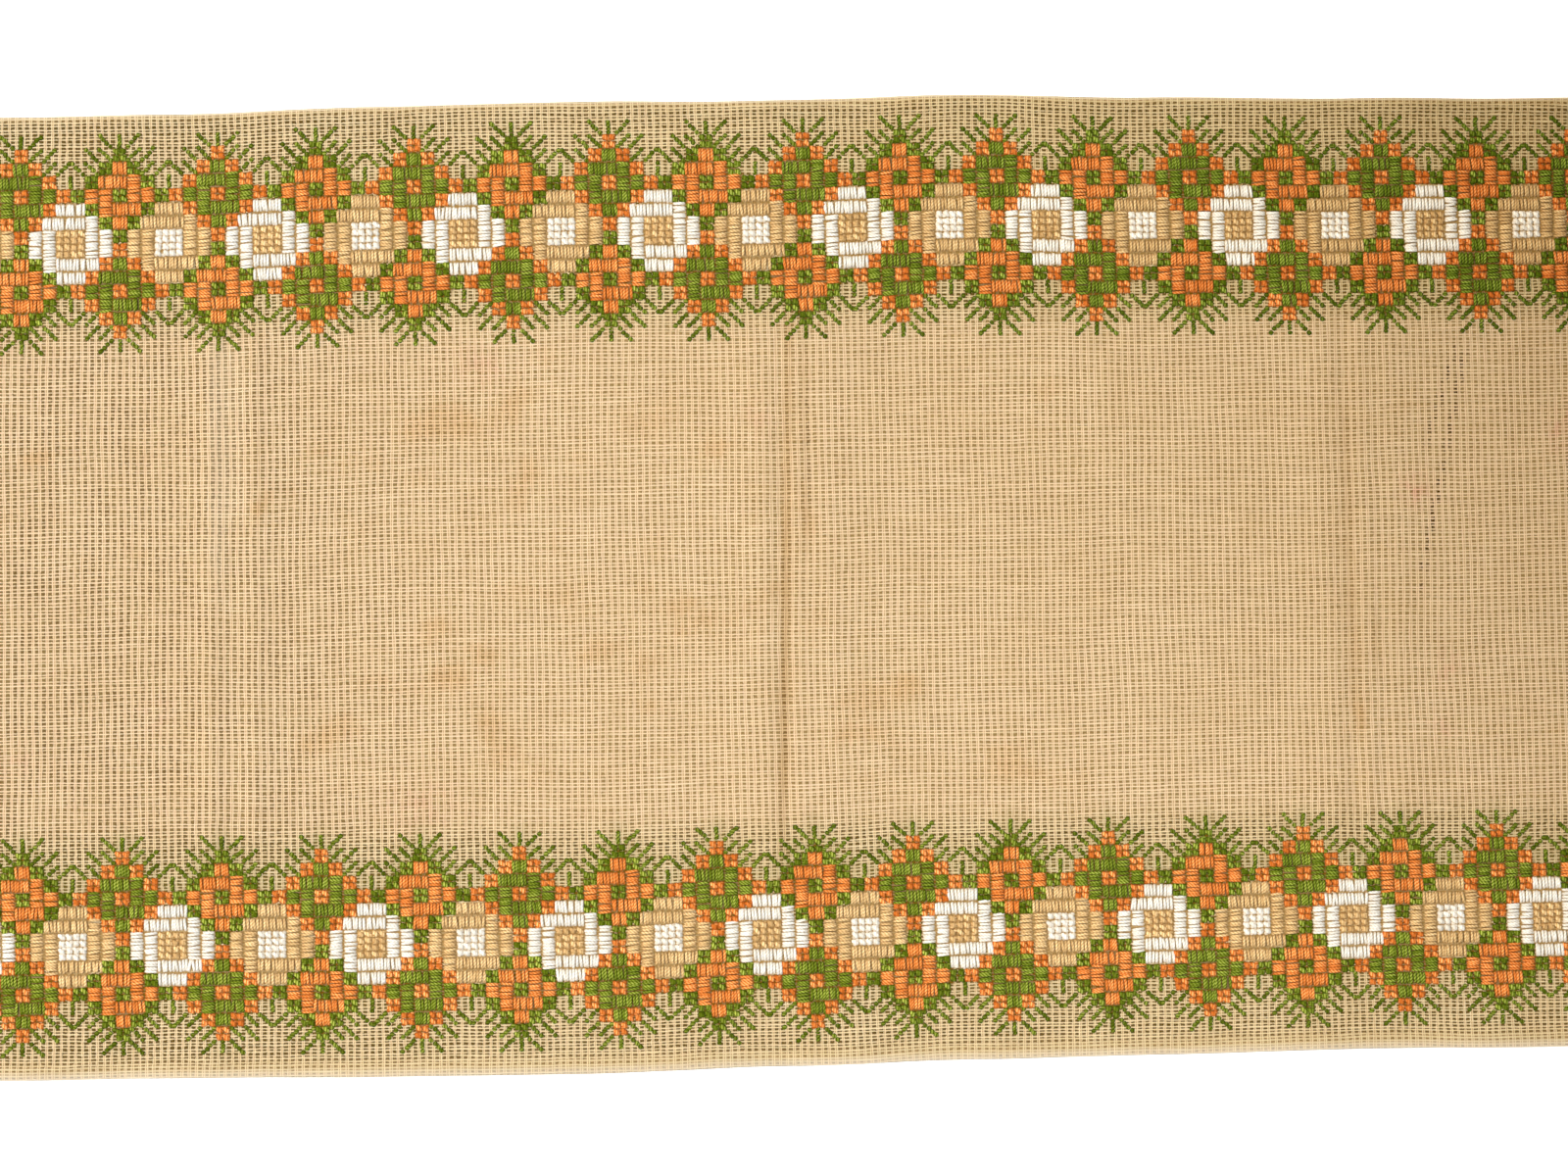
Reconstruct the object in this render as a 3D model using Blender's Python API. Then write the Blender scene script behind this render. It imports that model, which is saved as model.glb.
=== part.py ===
"""Woven table runner: one cut length of open canvas, with turned hems and two embroidered borders.

The runner lies flat with its length along X and its width along Y. Its underside is at z = 0, and the
middle of its outline is at x = 0, y = 0. Places on the cloth are counted in canvas threads: u threads
along from the middle, and v threads across from the middle. Sizes are in metres.
"""

import math

import bmesh
import bpy

NAME = "runner_cloth"

# Canvas: the pitch of its threads
PITCH_ALONG = 0.00127
PITCH_BORDER = 0.00124
PITCH_FIELD = 0.001317

# Counts of threads along the length
UNIT = 4
FLOWER_REPEAT = 7 * UNIT
FLOWERS = 22
END_MARGIN = 20.5
HALF_LENGTH = FLOWER_REPEAT * FLOWERS / 2 + END_MARGIN

# Counts of threads across the width
HALF_FIELD = 67
BORDER_REACH = 8 * UNIT
FLOWER_ROW = HALF_FIELD + BORDER_REACH
LOW_EDGE = -(FLOWER_ROW + 39)
HIGH_EDGE = FLOWER_ROW + 37.5
HEM = 4
CORNER = 2.5

# Thickness of the cloth, of its turned hem, and of the embroidered pads and the dips between them
CANVAS = 0.0012
TURNED_HEM = 0.0018
PAD = 0.0022
DIP = 0.0017

# Outline as it lies: (place along, edge on the high side, edge on the low side), from the middle
OUTLINE = (
    (-0.420, 0.1745, 0.1755),
    (-0.224, 0.1747, 0.1759),
    (-0.152, 0.1763, 0.1768),
    (-0.081, 0.1769, 0.1770),
    (-0.010, 0.1760, 0.1754),
    (0.062, 0.1770, 0.1741),
    (0.133, 0.1749, 0.1735),
    (0.205, 0.1733, 0.1726),
    (0.276, 0.1721, 0.1731),
    (0.420, 0.1720, 0.1730),
)
BOW = 0.0054  # how far the middle thread lies to the right, while both ends stay
FLARE = 0.053  # share by which the length grows for each metre towards the low side

# Creases where the runner was folded away: (thread along, lift beside it, rise or fall of its line)
CREASES = (
    (-170.5, 0.0004, 0.0009),
    (-158, 0.0004, 0.0008),
    (-7.5, 0.0012, -0.0012),
    (0, 0.0006, -0.0007),
    (155.5, 0.0009, -0.0009),
    (164, 0.0006, -0.0006),
)
LIFT_REACH = 16
LINE_REACH = 3
LEFT_IN_BORDERS = 0.2  # share of a crease that still shows in the stiff borders

# Ripples of the outer edges, where they part a little from the table
RIPPLE = 0.0014
RIPPLE_REACH = 16
RIPPLE_LENGTHS = (74, 118)

# The modelling grid: a line every quarter of the repeat, and wider spaces in the plain field
GRID_STEP = FLOWER_REPEAT / 4
FIELD_SPACES = 7

CANVAS_COLOUR = (0.716, 0.509, 0.275, 1.0)
CANVAS_ROUGHNESS = 0.85


def clear_scene():
    """Empty the scene."""
    for thing in list(bpy.data.objects):
        bpy.data.objects.remove(thing, do_unlink=True)


def canvas_material():
    """The tan canvas, matt all over."""
    material = bpy.data.materials.new("canvas")
    material.use_nodes = True
    shader = material.node_tree.nodes["Principled BSDF"]
    shader.inputs["Base Color"].default_value = CANVAS_COLOUR
    shader.inputs["Roughness"].default_value = CANVAS_ROUGHNESS
    shader.inputs["Metallic"].default_value = 0.0
    return material


def bell(distance, reach):
    """1 at no distance, falling softly to nothing past about twice the reach."""
    return math.exp(-((distance / reach) ** 2))


def smooth(share):
    """A share between 0 and 1, eased at both ends."""
    share = min(max(share, 0.0), 1.0)
    return share * share * (3 - 2 * share)


def edges_at(x):
    """The outline's high and low edge at a place along the length."""
    for (x0, high0, low0), (x1, high1, low1) in zip(OUTLINE, OUTLINE[1:]):
        if x <= x1:
            break
    share = smooth((x - x0) / (x1 - x0))
    return high0 + (high1 - high0) * share, low0 + (low1 - low0) * share


def unstretched(v):
    """Distance across from the middle, before the cloth is pulled to its outline."""
    field = min(abs(v), HALF_FIELD)
    border = abs(v) - field
    return math.copysign(field * PITCH_FIELD + border * PITCH_BORDER, v)


def place(u, v):
    """x and y of a point of the cloth as it lies."""
    x = u * PITCH_ALONG + BOW * (1 - (u / HALF_LENGTH) ** 2)
    high, low = edges_at(x)
    y = unstretched(v)
    y *= high / unstretched(HIGH_EDGE) if v > 0 else low / -unstretched(LOW_EDGE)
    return x - u * PITCH_ALONG * FLARE * y, y


def crease_height(u, v):
    """How far the creases lift the cloth: softly beside each line, and down again in a trough."""
    in_border = smooth((abs(v) - HALF_FIELD) / UNIT)
    share = 1 - in_border * (1 - LEFT_IN_BORDERS)
    height = 0.0
    for line, lift, rise in CREASES:
        height += lift * bell(u - line, LIFT_REACH) + rise * bell(u - line, LINE_REACH)
    return max(height, 0.0) * share


def ripple_height(u, v):
    """How far the outer edges lift, and nothing a hand's breadth inside them."""
    from_edge = min(v - LOW_EDGE, HIGH_EDGE - v, HALF_LENGTH - abs(u))
    nearness = smooth(1 - from_edge / RIPPLE_REACH)
    long_wave, short_wave = RIPPLE_LENGTHS
    wave = math.sin(2 * math.pi * (u + v) / long_wave) * math.sin(2 * math.pi * (u - v) / short_wave)
    return RIPPLE * nearness * max(wave, 0.0)


def underside(u, v):
    """Height of the underside. It is 0 wherever the cloth touches the table."""
    height = crease_height(u, v) + ripple_height(u, v)
    return height if height > 0.00005 else 0.0


def thickness(u, v):
    """Canvas, hem or embroidery: flowers stand on each border's row, diamonds between and beside them."""
    from_edge = min(v - LOW_EDGE, HIGH_EDGE - v, HALF_LENGTH - abs(u))
    if from_edge < HEM + 0.01:
        return TURNED_HEM
    across = abs(abs(v) - FLOWER_ROW)
    half = FLOWER_REPEAT / 2
    to_diamond = abs((u + half) % FLOWER_REPEAT - half)
    to_flower = half - to_diamond
    nearest = min(to_flower + across, to_diamond + abs(across - half))
    if abs(u) > HALF_LENGTH - END_MARGIN + half + 0.01 or nearest > half + 0.01:
        return CANVAS
    return PAD if nearest < half - 0.01 else DIP


def evenly(first, last, spaces):
    """Places from first to last, both among them."""
    return [first + (last - first) * i / spaces for i in range(spaces + 1)]


def lines_along():
    """Threads at which the model has a line across the runner."""
    reach = int((HALF_LENGTH - HEM) // GRID_STEP)
    lines = {i * GRID_STEP for i in range(-reach, reach + 1)}
    lines |= {line for line, _, _ in CREASES}
    lines |= {HEM - HALF_LENGTH, HALF_LENGTH - HEM}
    return sorted(lines)


def lines_across():
    """Threads at which the model has a line along the runner."""
    lines = {LOW_EDGE + HEM, HIGH_EDGE - HEM}
    lines |= set(evenly(-HALF_FIELD, HALF_FIELD, FIELD_SPACES))
    for row in (-FLOWER_ROW, FLOWER_ROW):
        lines |= set(evenly(row - FLOWER_REPEAT, row + FLOWER_REPEAT, 8))
    return sorted(lines)


def cut_length(bm):
    """The flat cut length, counted in threads, with round corners and a line at each named place."""
    bmesh.ops.create_grid(bm, x_segments=1, y_segments=1, size=1.0)
    bmesh.ops.scale(bm, vec=(HALF_LENGTH, (HIGH_EDGE - LOW_EDGE) / 2, 1), verts=bm.verts)
    bmesh.ops.translate(bm, vec=(0, (HIGH_EDGE + LOW_EDGE) / 2, 0), verts=bm.verts)
    bmesh.ops.bevel(
        bm, geom=bm.verts[:], offset=CORNER, segments=3, profile=0.5, affect="VERTICES", material=-1
    )
    cuts = [((u, 0, 0), (1, 0, 0)) for u in lines_along()]
    cuts += [((0, v, 0), (0, 1, 0)) for v in lines_across()]
    for point, normal in cuts:
        everything = bm.verts[:] + bm.edges[:] + bm.faces[:]
        bmesh.ops.bisect_plane(bm, geom=everything, dist=0.0001, plane_co=point, plane_no=normal)


def give_thickness(bm):
    """Extrude the flat sheet upwards, and lay both sides in their places."""
    made = bmesh.ops.extrude_face_region(bm, geom=bm.faces[:], use_keep_orig=True)["geom"]
    upper = {part for part in made if isinstance(part, bmesh.types.BMVert)}
    for vert in bm.verts:
        u, v = vert.co.x, vert.co.y
        height = underside(u, v) + (thickness(u, v) if vert in upper else 0.0)
        vert.co = (*place(u, v), height)
    bmesh.ops.recalc_face_normals(bm, faces=bm.faces[:])
    return upper


def merge_flat_underside(bm, upper):
    """Join the underside's faces wherever they lie level on the table, but not at the rim."""
    lower = [vert for vert in bm.verts if vert not in upper]
    level = {vert for vert in lower if all(face.normal.z < -0.99 for face in vert.link_faces)}
    edges = [edge for edge in bm.edges if all(vert in level for vert in edge.verts)]
    bmesh.ops.dissolve_limit(
        bm, angle_limit=math.radians(0.05), use_dissolve_boundaries=False, verts=list(level), edges=edges
    )


def runner(collection):
    """The runner's cloth as one closed solid."""
    bm = bmesh.new()
    cut_length(bm)
    upper = give_thickness(bm)
    merge_flat_underside(bm, upper)
    mesh = bpy.data.meshes.new(NAME)
    bm.to_mesh(mesh)
    bm.free()
    mesh.materials.append(canvas_material())
    mesh.shade_smooth()
    mesh.set_sharp_from_angle(angle=math.radians(40))
    cloth = bpy.data.objects.new(NAME, mesh)
    collection.objects.link(cloth)
    return cloth


def main():
    clear_scene()
    collection = bpy.data.collections.new("table_runner")
    bpy.context.scene.collection.children.link(collection)
    middle = bpy.data.objects.new("runner_middle", None)
    collection.objects.link(middle)
    cloth = runner(collection)
    cloth.parent = middle
    print("faces", len(cloth.data.polygons), "size", tuple(cloth.dimensions))


main()
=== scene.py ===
# %% [markdown]
# # A woven table runner with two counted-thread borders
# This lesson dresses a finished solid of a table runner. The real thing is one length of open canvas,
# whose threads run in pairs, with a narrow hem turned all round. A maker has counted those threads and
# worked a border of flowers and diamonds along each long edge. So this script counts threads too: every
# place on the cloth is (u, v), u threads along and v threads across from the middle.

# %% Load the fixed frame
import math

import bmesh
import bpy
import numpy as np
from mathutils import Matrix


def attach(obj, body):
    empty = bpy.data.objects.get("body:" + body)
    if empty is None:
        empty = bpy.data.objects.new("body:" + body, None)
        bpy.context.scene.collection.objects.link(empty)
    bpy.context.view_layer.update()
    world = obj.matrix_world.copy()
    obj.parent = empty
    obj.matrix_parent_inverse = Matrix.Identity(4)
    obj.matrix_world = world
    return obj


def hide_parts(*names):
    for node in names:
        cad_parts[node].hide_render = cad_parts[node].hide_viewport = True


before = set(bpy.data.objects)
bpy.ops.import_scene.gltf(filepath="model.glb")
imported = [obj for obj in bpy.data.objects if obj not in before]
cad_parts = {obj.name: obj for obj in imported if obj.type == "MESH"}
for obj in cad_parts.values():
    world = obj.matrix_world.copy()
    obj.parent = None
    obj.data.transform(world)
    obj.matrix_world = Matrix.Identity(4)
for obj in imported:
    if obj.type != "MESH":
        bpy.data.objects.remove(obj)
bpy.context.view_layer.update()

# %% [markdown]
# ## Counting the canvas
# The canvas has 20 threads to the inch. Its weft threads stand a little further apart in the plain field
# than under the embroidery, which draws them together. The border's pattern repeats every 28 threads,
# which are seven units of four, and one satin stitch covers one unit.

# %% Thread counts and pitches
PITCH_ALONG = 0.00127
PITCH_BORDER = 0.00124
PITCH_FIELD = 0.001317
UNIT = 4
FLOWER_REPEAT = 7 * UNIT
FLOWERS = 22
END_MARGIN = 20.5
HALF_LENGTH = FLOWER_REPEAT * FLOWERS / 2 + END_MARGIN
HALF_FIELD = 67
FLOWER_ROW = HALF_FIELD + 8 * UNIT
LOW_EDGE = -(FLOWER_ROW + 39)
HIGH_EDGE = FLOWER_ROW + 37.5
HEM = 4
CANVAS = 0.0012
TURNED_HEM = 0.0018
print("threads along", 2 * HALF_LENGTH, "and across", HIGH_EDGE - LOW_EDGE)

# %% [markdown]
# ## How the cloth lies
# A hand-made runner is never a true rectangle. Its outline is a short table of how far each long edge
# lies from the middle, with an eased curve between the rows. `place` turns thread counts into metres, and
# everything on the cloth goes through it, so stitches and canvas always agree. It works on whole arrays,
# because there are many thousands of stitches.

# %% Outline and place
OUTLINE = (
    (-0.420, 0.1745, 0.1755),
    (-0.224, 0.1747, 0.1759),
    (-0.152, 0.1763, 0.1768),
    (-0.081, 0.1769, 0.1770),
    (-0.010, 0.1760, 0.1754),
    (0.062, 0.1770, 0.1741),
    (0.133, 0.1749, 0.1735),
    (0.205, 0.1733, 0.1726),
    (0.276, 0.1721, 0.1731),
    (0.420, 0.1720, 0.1730),
)
BOW = 0.0054
FLARE = 0.053


def eased(share):
    """A share between 0 and 1, eased at both ends."""
    share = np.clip(share, 0.0, 1.0)
    return share * share * (3 - 2 * share)


def edges_at(x):
    """Distance of the high and the low edge from the middle, at places along the length."""
    along, high, low = np.array(OUTLINE).T
    row = np.clip(np.searchsorted(along, x) - 1, 0, len(along) - 2)
    share = eased((x - along[row]) / (along[row + 1] - along[row]))
    return high[row] + (high[row + 1] - high[row]) * share, low[row] + (low[row + 1] - low[row]) * share


def unstretched(v):
    """Distance across from the middle, before the cloth is pulled to its outline."""
    field = np.minimum(np.abs(v), HALF_FIELD)
    return np.sign(v) * (field * PITCH_FIELD + (np.abs(v) - field) * PITCH_BORDER)


def place(u, v):
    """x and y of points of the cloth as it lies."""
    x = u * PITCH_ALONG + BOW * (1 - (u / HALF_LENGTH) ** 2)
    high, low = edges_at(x)
    pull = np.where(v > 0, high / unstretched(HIGH_EDGE), low / -unstretched(LOW_EDGE))
    y = unstretched(v) * pull
    return x - u * PITCH_ALONG * FLARE * y, y


print("half length in metres", round(float(place(HALF_LENGTH, 0.0)[0]), 4))

# %% [markdown]
# ## Creases and ripples
# The runner was stored folded, so it keeps three soft double creases across its field. Beside a crease
# the cloth tents up a little, and the crease itself is either a fine ridge or a trough that falls back
# to the table. Bell curves give both: a wide one for the tent and a narrow one for the line. The
# stitched borders are stiffer and hardly show them. The outer edges lift in shallow ripples.

# %% Heights of the folds
CREASES = (
    (-170.5, 0.0004, 0.0009),
    (-158, 0.0004, 0.0008),
    (-7.5, 0.0012, -0.0012),
    (0, 0.0006, -0.0007),
    (155.5, 0.0009, -0.0009),
    (164, 0.0006, -0.0006),
)
LIFT_REACH = 16
LINE_REACH = 3
LEFT_IN_BORDERS = 0.2
RIPPLE = 0.0014
RIPPLE_REACH = 16
RIPPLE_LENGTHS = (74, 118)


def bell(distance, reach):
    """1 at no distance, falling softly to nothing past about twice the reach."""
    return np.exp(-((distance / reach) ** 2))


def from_edge(u, v):
    """Threads between a point and the nearest edge of the cloth."""
    return np.minimum(np.minimum(v - LOW_EDGE, HIGH_EDGE - v), HALF_LENGTH - np.abs(u))


def underside(u, v):
    """Height of the cloth's underside: creases, and ripples near the edges."""
    share = 1 - eased((np.abs(v) - HALF_FIELD) / UNIT) * (1 - LEFT_IN_BORDERS)
    creases = sum(
        lift * bell(u - line, LIFT_REACH) + rise * bell(u - line, LINE_REACH) for line, lift, rise in CREASES
    )
    long_wave, short_wave = RIPPLE_LENGTHS
    wave = np.sin(2 * math.pi * (u + v) / long_wave) * np.sin(2 * math.pi * (u - v) / short_wave)
    ripple = RIPPLE * eased(1 - from_edge(u, v) / RIPPLE_REACH) * np.maximum(wave, 0.0)
    return np.maximum(creases, 0.0) * share + ripple


print("highest fold", round(float(underside(-9.0, 0.0)) * 1000, 2), "mm")

# %% [markdown]
# ## Marks of use
# The field carries many faint brown patches where it was once damp, and a few pink ones, and it is darker
# along the creases. They are listed one by one, each as a soft spot: its place in threads, how far it
# reaches along and across, and its strength. They go onto the mesh as attributes, one number for each
# vertex, because they are soft and larger than the mesh's own faces. Finer lines are left to the canvas
# material.

# %% Where the marks lie
# Each row: thread along, thread across, reach along, reach across, strength
BROWN_MARKS = (
    (-139, 40, 4, 2.2, 0.6),
    (-132, 34, 3, 2.2, 0.6),
    (-123, 34, 3, 2.2, 0.55),
    (-111, 31, 5, 2.4, 0.55),
    (-110, 45, 10, 5, 0.65),
    (-99, 45, 8, 4, 0.8),
    (-84, 50, 4, 5, 0.85),
    (-81, 32, 3, 3.5, 0.75),
    (-82, 24, 3, 4, 0.7),
    (-65, 36, 4, 4, 0.45),
    (-51, 44, 6, 4, 0.55),
    (-40, 49, 7, 4, 0.5),
    (-27, 38, 3.5, 2.6, 1.0),
    (-74, 13, 2.6, 4, 0.55),
    (-44, 12, 4, 4, 0.45),
    (-48, 1, 3.5, 2.4, 0.55),
    (-85, -1, 6, 2.5, 0.7),
    (-69, -2, 8, 6, 0.45),
    (-37, -6, 5.5, 3, 0.75),
    (-38, -14, 4.5, 2, 0.6),
    (-29, -10, 4.5, 2, 0.6),
    (-20, -7, 4.5, 2, 0.6),
    (-12, -3, 4, 2, 0.7),
    (-106, -11, 5, 4, 0.75),
    (-93, -17, 4.5, 3, 0.9),
    (-104, -25, 6, 3.5, 0.95),
    (-121, -26, 8, 2, 0.6),
    (-61, -18, 6, 3.4, 0.85),
    (-47, -21, 4, 4, 0.75),
    (-48, -32, 4, 2.5, 0.65),
    (-91, -36, 4, 5.5, 0.85),
    (-89, -46, 5, 2.5, 0.75),
    (-136, -38, 5.5, 4, 0.85),
    (-143, -43, 3.5, 3, 0.6),
    (-135, -53, 4, 2.5, 0.5),
    (-79, -53, 6, 4, 0.4),
    (-150, -6, 4, 4, 0.45),
    (-191, 12, 5, 3, 0.5),
    (-191, 39, 7, 3, 0.45),
    (-219, 37, 4, 2.6, 1.0),
    (-209, -2, 4, 4, 0.4),
    (-222, -11, 3, 3, 0.5),
    (-156, 24, 2.2, 3.4, 0.9),
    (-74, 63, 4, 2.6, 0.6),
    (-1, 19, 2.6, 7, 0.65),
    (1, -9, 5, 6, 0.45),
    (8, 27, 4, 5, 0.4),
    (26, -28, 4.5, 3, 0.95),
    (14, -32, 8, 4, 0.75),
    (17, -42, 8, 4, 0.65),
    (8, -43, 3.5, 2.4, 0.5),
    (16, -55, 7, 2.4, 0.4),
    (56, -51, 6, 5, 0.8),
    (69, -55, 11, 2.2, 0.6),
    (70, 53, 4.5, 3.5, 0.6),
    (156, -41, 2, 4.6, 0.75),
    (174, 47, 4.5, 3, 0.5),
    (215, -46, 3.5, 4.5, 0.5),
)
PINK_MARKS = (
    (176, 22, 3.2, 3.3, 1.0),
    (182, -27, 2, 4, 0.6),
    (219, 39, 2.6, 5.4, 0.8),
    (180, -44, 2.4, 3, 0.45),
    (-94, 61, 7, 4, 0.5),
    (-113, -59, 8, 5, 0.4),
    (-185, -32, 3, 4, 0.4),
    (-224, -46, 3, 3, 0.4),
    (-14, 45, 3, 4, 0.4),
)
CREASE_DARKENING = (
    (-4, 42, 5.0, 24, 0.2),
    (-7, -20, 4.0, 40, 0.12),
    (155, 0, 3.0, 60, 0.25),
)
print("marks", len(BROWN_MARKS) + len(PINK_MARKS) + len(CREASE_DARKENING))

# %% [markdown]
# ## The canvas sheet
# The cloth is modelled the way it is cut. A grid stands for the length of canvas, measured in threads.
# Lines are cut at the creases and where the hem ends, and an extrusion gives it thickness.
# The rim is bevelled, because a turned edge is a soft fold and not a sharp one. While the mesh is still
# flat its corners are also its thread counts, so they are kept as a UV map, and the weave can follow the
# cloth wherever it goes. Only then is every corner moved to where it lies.

# %% Model the sheet in thread space and lay it down
GRID_THREADS = 3
MARK_REACH = 1.2
RAGGED_ALONG, RAGGED_ACROSS = 1.5, 1.2
HEM_LINES = (1.6, HEM - 0.3, HEM + 0.3)
BESIDE_CREASE = (-1.8, 0, 1.8)
RIM = 0.55
RIM_ANGLE = 1.2


def cut_canvas(bm):
    """The flat canvas, in threads, with lines at the hem's step and at the creases."""
    bmesh.ops.create_grid(
        bm,
        x_segments=round(2 * HALF_LENGTH / GRID_THREADS),
        y_segments=round((HIGH_EDGE - LOW_EDGE) / GRID_THREADS),
        size=1.0,
    )
    bmesh.ops.scale(bm, vec=(HALF_LENGTH, (HIGH_EDGE - LOW_EDGE) / 2, 1), verts=bm.verts)
    bmesh.ops.translate(bm, vec=(0, (HIGH_EDGE + LOW_EDGE) / 2, 0), verts=bm.verts)
    along = [line + beside for line, _, _ in CREASES for beside in BESIDE_CREASE]
    along += [side * (HALF_LENGTH - inside) for side in (-1, 1) for inside in HEM_LINES]
    across = [edge for inside in HEM_LINES for edge in (LOW_EDGE + inside, HIGH_EDGE - inside)]
    cuts = [((u, 0, 0), (1, 0, 0)) for u in along] + [((0, v, 0), (0, 1, 0)) for v in across]
    for point, normal in cuts:
        everything = bm.verts[:] + bm.edges[:] + bm.faces[:]
        bmesh.ops.bisect_plane(bm, geom=everything, dist=0.02, plane_co=point, plane_no=normal)


def thicken(bm):
    """Extrude upwards, step down inside the hem, and round the rim."""
    made = bmesh.ops.extrude_face_region(bm, geom=bm.faces[:], use_keep_orig=True)["geom"]
    for vert in (part for part in made if isinstance(part, bmesh.types.BMVert)):
        in_hem = float(from_edge(vert.co.x, vert.co.y)) < HEM
        vert.co.z += (TURNED_HEM if in_hem else CANVAS) / PITCH_ALONG
    bmesh.ops.recalc_face_normals(bm, faces=bm.faces[:])
    rim = [edge for edge in bm.edges if edge.calc_face_angle(0) > RIM_ANGLE]
    bmesh.ops.bevel(
        bm, geom=rim, offset=RIM, segments=2, profile=0.5, affect="EDGES", material=-1, clamp_overlap=True
    )


def keep_thread_counts(mesh):
    """Write each corner's thread counts to a UV map, and return them for the vertices."""
    counts = np.empty(3 * len(mesh.vertices))
    mesh.vertices.foreach_get("co", counts)
    counts = counts.reshape(-1, 3)
    corner = np.empty(len(mesh.loops), dtype=np.int32)
    mesh.loops.foreach_get("vertex_index", corner)
    layer = mesh.uv_layers.new(name="threads")
    layer.uv.foreach_set("vector", counts[corner, :2].ravel().astype(np.float32))
    return counts


def marks_at(u, v, marks):
    """How strongly the listed marks colour the cloth at each vertex, from 0 to 1."""
    bent_u = u + RAGGED_ALONG * np.sin(v * 0.31 + u * 0.07)
    bent_v = v + RAGGED_ACROSS * np.sin(u * 0.27 + 1.3)
    total = sum(
        strength * bell(np.hypot((bent_u - mark_u) / reach_u, (bent_v - mark_v) / reach_v), MARK_REACH)
        for mark_u, mark_v, reach_u, reach_v, strength in marks
    )
    return np.minimum(total, 1.0)


def keep_number(mesh, name, values):
    """Keep a number for each vertex, under a name."""
    mesh.attributes.new(name, "FLOAT", "POINT").data.foreach_set("value", values)


def new_piece(name, mesh):
    """An object at the origin that holds the mesh."""
    piece = bpy.data.objects.new(name, mesh)
    bpy.context.scene.collection.objects.link(piece)
    mesh.shade_smooth()
    return piece


def lay_canvas():
    """The whole canvas piece."""
    bm = bmesh.new()
    cut_canvas(bm)
    thicken(bm)
    mesh = bpy.data.meshes.new("canvas_sheet")
    bm.to_mesh(mesh)
    bm.free()
    u, v, rise = keep_thread_counts(mesh).T
    x, y = place(u, v)
    z = underside(u, v) + rise * PITCH_ALONG
    mesh.vertices.foreach_set("co", np.column_stack((x, y, z)).ravel())
    for name, marks in (("brown", BROWN_MARKS), ("pink", PINK_MARKS), ("crease_darkening", CREASE_DARKENING)):
        keep_number(mesh, name, marks_at(u, v, marks))
    mesh.update()
    return new_piece("canvas_sheet", mesh)


canvas = lay_canvas()
print("canvas faces", len(canvas.data.polygons))

# %% [markdown]
# ## One stitch
# A stitch comes up through a hole, arches over the canvas and goes down through another. Its thread is
# soft, so it spreads where it lies on top and narrows where it dives. A tube made by extruding a small
# square is enough: with smooth shading, four sides read as round, and there are about twenty-four
# thousand stitches to draw. The tube is kept as lists of shares: how far along, how far to the side and
# how high each corner is, and how deep it dives.

# %% A stitch template
SATIN_STATIONS = (
    (0.0, 0.66, -0.1),
    (0.15, 0.97, 0.70),
    (0.5, 1.0, 1.0),
    (0.85, 0.97, 0.70),
    (1.0, 0.66, -0.1),
)
ARM_STATIONS = (
    (0.0, 0.45, -0.1),
    (0.25, 1.0, 0.85),
    (0.75, 1.0, 0.85),
    (1.0, 0.45, -0.1),
)
CROWN = 0.62
UNDER_SHARE, UNDER_DEPTH = 0.25, 0.2


def stitch_template(stations):
    """Shares along, aside and up of a tube's corners, and its faces. Stations are (along, width, height)."""
    bm = bmesh.new()
    upright = Matrix.Rotation(math.radians(90), 4, "Y") @ Matrix.Rotation(math.radians(45), 4, "Z")
    bmesh.ops.create_circle(bm, cap_ends=True, segments=4, radius=math.sqrt(2), matrix=upright)
    end = bm.faces[:]
    for i in range(1, len(stations)):
        made = bmesh.ops.extrude_face_region(bm, geom=end)["geom"]
        if i > 1:
            bmesh.ops.delete(bm, geom=end, context="FACES_ONLY")
        corners = [part for part in made if isinstance(part, bmesh.types.BMVert)]
        bmesh.ops.translate(bm, vec=(1, 0, 0), verts=corners)
        end = [part for part in made if isinstance(part, bmesh.types.BMFace)]
    bmesh.ops.recalc_face_normals(bm, faces=bm.faces[:])
    along, aside, up = np.array([vert.co for vert in bm.verts]).T
    share, width, height = np.array(stations)[np.round(along).astype(int)].T
    faces = np.array([[vert.index for vert in face.verts] for face in bm.faces])
    bm.free()
    crown = up > 0
    return {
        "along": share,
        "aside": np.where(crown, CROWN, 1.0) * width * np.sign(aside),
        "edge": np.where(crown, CROWN, 1.0) * np.sign(aside),
        "up": np.where(crown, height, height * UNDER_SHARE - UNDER_DEPTH),
        # How deep a corner dives, which the thread material paints as shade
        "dive": np.clip(1 - height, 0, 1),
        "faces": faces,
    }


satin = stitch_template(SATIN_STATIONS)
arm = stitch_template(ARM_STATIONS)
print("corners of a satin stitch", len(satin["along"]), "and faces", len(satin["faces"]))

# %% [markdown]
# ## Charting the border
# Counted work is written as a chart, and the chart here is a set of rules, each counted from a motif's
# middle. A satin bar is a row of parallel stitches over four threads. Four bars that follow each other
# round a square make a pinwheel. Small blocks are four cross stitches, and the rays are back stitches in
# four steps. Every rule adds rows of (u, v, u, v), a stitch's two ends, under a colour and a kind.

# %% Rules for each kind of stitch
BAR_INSET = 0.32
RAY_STITCHES = 4
chart = {}


def work(colour, kind, rows):
    """Add stitches to the chart."""
    chart.setdefault((colour, kind), []).extend(rows)


def turned(row, quarters):
    """A stitch turned by quarters about the motif's middle."""
    for _ in range(quarters):
        row = (-row[1], row[0], -row[3], row[2])
    return row


def moved(row, middle):
    """A stitch counted from another middle."""
    return (row[0] + middle[0], row[1] + middle[1], row[2] + middle[0], row[3] + middle[1])


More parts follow.
